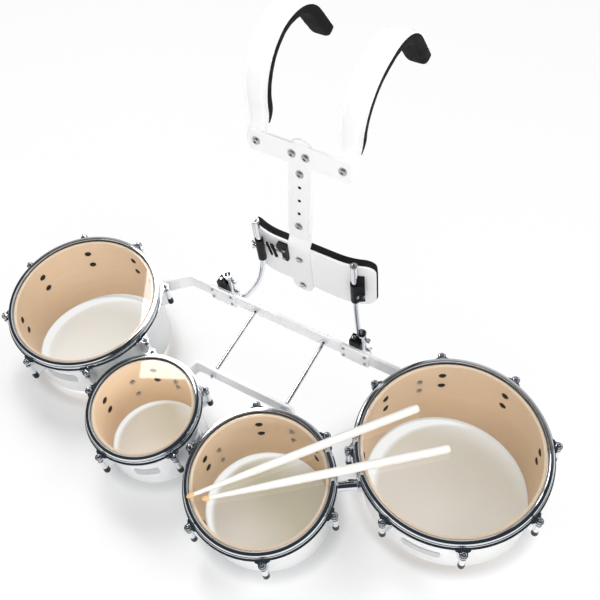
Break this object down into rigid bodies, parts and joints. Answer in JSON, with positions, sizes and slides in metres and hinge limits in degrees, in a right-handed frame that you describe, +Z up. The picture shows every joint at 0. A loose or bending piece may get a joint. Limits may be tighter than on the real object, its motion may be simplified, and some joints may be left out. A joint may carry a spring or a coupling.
{
  "type": "marching tenor drums",
  "caption": "Marching tenor drums: graded single-headed drums on flat rails, hung by hooked rods from a white shoulder carrier with belly plate and padded straps, with sticks.",
  "frame": {"origin": "middle of the bounding box, on the floor that the slanted shell bottoms stand on", "axes": "+X along the rails, from the second largest drum to the largest; +Y from the small drums toward the player; +Z up from the floor"},
  "size_m": [1.18, 0.7792, 0.7952],
  "materials": {
    "shell_wood": "thin plywood, white wrap outside",
    "clear_film": "clear, glossy",
    "chrome": "polished",
    "cast_alloy": "satin",
    "white_paint": "smooth white powder coat",
    "black_paint": "black, satin",
    "black_foam": "dense closed-cell foam, matt",
    "white_stick": "white lacquer, bare wood bead"
  },
  "bodies": {
    "drums": {"shell_12": "shell_wood", "head_12": "clear_film", "hoop_and_lugs_12": "chrome", "shell_8": "shell_wood", "head_8": "clear_film", "hoop_and_lugs_8": "chrome", "shell_10": "shell_wood", "head_10": "clear_film", "hoop_and_lugs_10": "chrome", "shell_13": "shell_wood", "head_13": "clear_film", "hoop_and_lugs_13": "chrome", "bracket_12_to_8": "cast_alloy", "bracket_8_to_10": "cast_alloy", "tube_10_to_13": "chrome", "tube_flange_10": "cast_alloy", "tube_flange_13": "cast_alloy", "rear_rail": "white_paint", "front_rail": "white_paint", "cross_rod_left": "chrome", "cross_rod_right": "chrome", "receiver_tube_left": "chrome", "receiver_block_left": "black_paint", "receiver_knob_left": "chrome", "clamp_plate_left": "white_paint", "receiver_tube_right": "chrome", "receiver_block_right": "black_paint", "receiver_knob_right": "chrome", "clamp_plate_right": "white_paint", "hooked_rod_left": "chrome", "hooked_rod_right": "chrome"},
    "carrier": {"belly_plate": "white_paint", "belly_pad": "black_foam", "lower_bar": "white_paint", "belly_bolt_upper": "chrome", "belly_bolt_lower": "chrome", "rod_holder_left": "black_paint", "rod_holder_right": "black_paint", "holder_bolt_right": "chrome"},
    "spine": {"upper_bar": "white_paint", "crossbar": "white_paint", "spine_bolt_lower": "chrome", "spine_bolt_upper": "chrome", "crossbar_bolt_left": "chrome", "crossbar_bolt_right": "chrome", "strap_bolt_left": "chrome", "strap_bolt_right": "chrome"},
    "shoulder_left": {"strap_left": "white_paint", "strap_pad_left": "black_foam"},
    "shoulder_right": {"strap_right": "white_paint", "strap_pad_right": "black_foam"},
    "receiver_screw_left": {"receiver_wing_screw_left": "chrome"},
    "receiver_screw_right": {"receiver_wing_screw_right": "chrome"},
    "holder_screw": {"holder_wing_screw_left": "chrome"},
    "upper_stick": {"stick_upper": "white_stick"},
    "lower_stick": {"stick_lower": "white_stick"}
  },
  "joints": [
    {"name": "carrier_height", "type": "slide", "parent": "drums", "child": "carrier", "axis": [0, -0.2149, 0.9766], "range_m": [0, 0.055]},
    {"name": "spine_height", "type": "slide", "parent": "carrier", "child": "spine", "axis": [0, -0.0315, 0.9995], "range_m": [0, 0.032]},
    {"name": "strap_turn_left", "type": "hinge", "parent": "spine", "child": "shoulder_left", "pos_m": [-0.10059, 0.11458, 0.58697], "axis": [0, -0.9995, -0.0315], "range_deg": [-10, 10]},
    {"name": "strap_turn_right", "type": "hinge", "parent": "spine", "child": "shoulder_right", "pos_m": [0.07741, 0.11458, 0.58697], "axis": [0, -0.9995, -0.0315], "range_deg": [-10, 10]},
    {"name": "receiver_screw_turn_left", "type": "hinge", "parent": "drums", "child": "receiver_screw_left", "pos_m": [-0.17159, 0.11253, 0.15648], "axis": [1, 0, 0], "continuous": true},
    {"name": "receiver_screw_turn_right", "type": "hinge", "parent": "drums", "child": "receiver_screw_right", "pos_m": [0.15041, 0.11253, 0.15648], "axis": [1, 0, 0], "continuous": true},
    {"name": "holder_screw_turn", "type": "hinge", "parent": "carrier", "child": "holder_screw", "pos_m": [-0.09959, 0.12056, 0.31081], "axis": [-1, 0, 0], "continuous": true},
    {"name": "stick_lift_upper", "type": "slide", "parent": "drums", "child": "upper_stick", "axis": [0, -0.2149, 0.9766], "range_m": [0, 0.3]},
    {"name": "stick_lift_lower", "type": "slide", "parent": "drums", "child": "lower_stick", "axis": [0, -0.2149, 0.9766], "range_m": [0, 0.3]}
  ]
}
